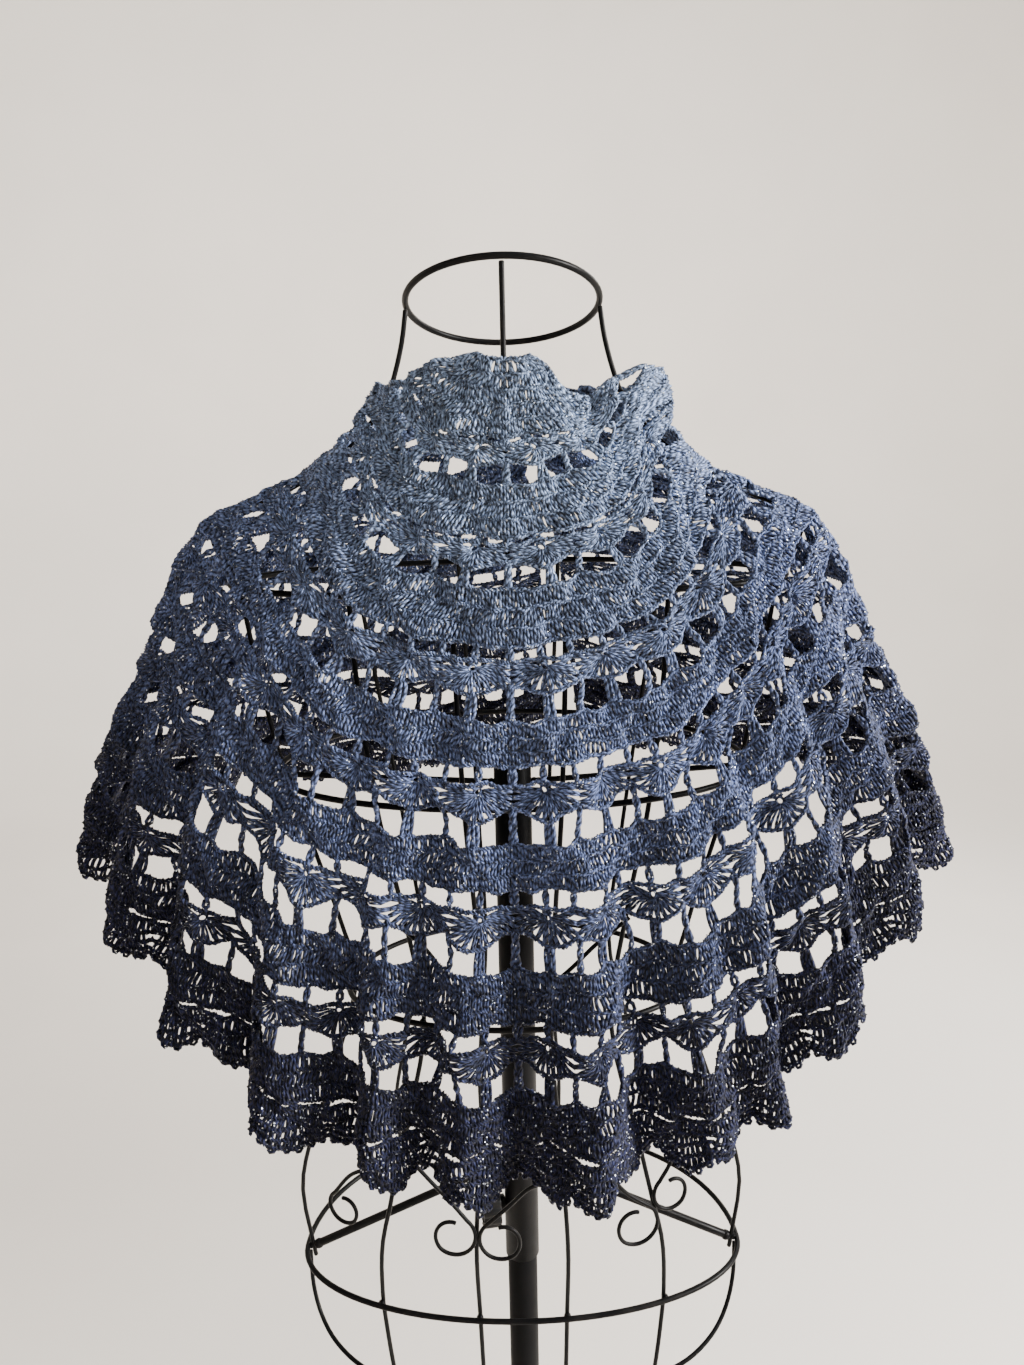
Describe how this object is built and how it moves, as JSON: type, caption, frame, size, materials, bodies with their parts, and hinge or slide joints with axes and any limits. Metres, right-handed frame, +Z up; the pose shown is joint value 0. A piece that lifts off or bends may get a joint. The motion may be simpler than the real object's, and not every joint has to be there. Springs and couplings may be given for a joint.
{
  "type": "crocheted shawlette on wire dress form",
  "caption": "Crocheted crescent shawlette with arched lace rows and a scalloped edge, draped round the shoulders of a standing wire dress form of adjustable height",
  "frame": {"origin": "centre of the base plate's underside", "axes": "+Z up the pole, -Y towards the side on which the middle of the shawlette hangs, +X to the right in the picture"},
  "size_m": [0.5652, 0.3606, 1.4197],
  "materials": {
    "shawl_yarn": "heathered yarn with a metallic thread, steel blue at the neck to navy",
    "edging_yarn": "navy heathered yarn with a metallic thread",
    "cage_wire": "gloss black paint",
    "steel_tube": "gloss black paint",
    "base_steel": "satin black paint",
    "knob_plastic": "moulded black plastic"
  },
  "bodies": {
    "stand": {"base_plate": "base_steel", "base_socket": "base_steel"},
    "pole": {"pole": "steel_tube"},
    "form": {"shawl_left": "shawl_yarn", "shawl_right": "shawl_yarn", "edging_left": "edging_yarn", "edging_right": "edging_yarn", "neck_ring": "cage_wire", "yoke_ring": "cage_wire", "bust_ring": "cage_wire", "waist_ring": "cage_wire", "hip_ring": "cage_wire", "lower_rim": "cage_wire", "side_wire_left": "cage_wire", "side_wire_right": "cage_wire", "centre_wire_near": "cage_wire", "centre_wire_far": "cage_wire", "upright_near_outer_left": "cage_wire", "upright_near_outer_right": "cage_wire", "upright_near_inner_left": "cage_wire", "upright_near_inner_right": "cage_wire", "upright_far_outer_left": "cage_wire", "upright_far_outer_right": "cage_wire", "upright_far_inner_left": "cage_wire", "upright_far_inner_right": "cage_wire", "hip_brace_left": "cage_wire", "hip_brace_right": "cage_wire", "bust_brace_left": "cage_wire", "bust_brace_right": "cage_wire", "scroll_left_outer": "cage_wire", "scroll_left_inner": "cage_wire", "scroll_right_inner": "cage_wire", "scroll_right_outer": "cage_wire", "scroll_left_side": "cage_wire", "scroll_waist_left": "cage_wire", "scroll_waist_right": "cage_wire", "tube": "steel_tube", "tube_cap": "knob_plastic", "clamp_boss": "steel_tube"},
    "knob": {"knob": "knob_plastic", "knob_screw": "steel_tube"}
  },
  "joints": [
    {"name": "form_turn", "type": "hinge", "parent": "stand", "child": "pole", "pos_m": [0, 0, 0.02], "axis": [0, 0, 1], "continuous": true},
    {"name": "height_slide", "type": "slide", "parent": "pole", "child": "form", "axis": [0, 0, 1], "range_m": [-0.1, 0.2]},
    {"name": "knob_turn", "type": "hinge", "parent": "form", "child": "knob", "pos_m": [0, 0, 0.767], "axis": [-0.9848, -0.1736, 0], "continuous": true}
  ]
}
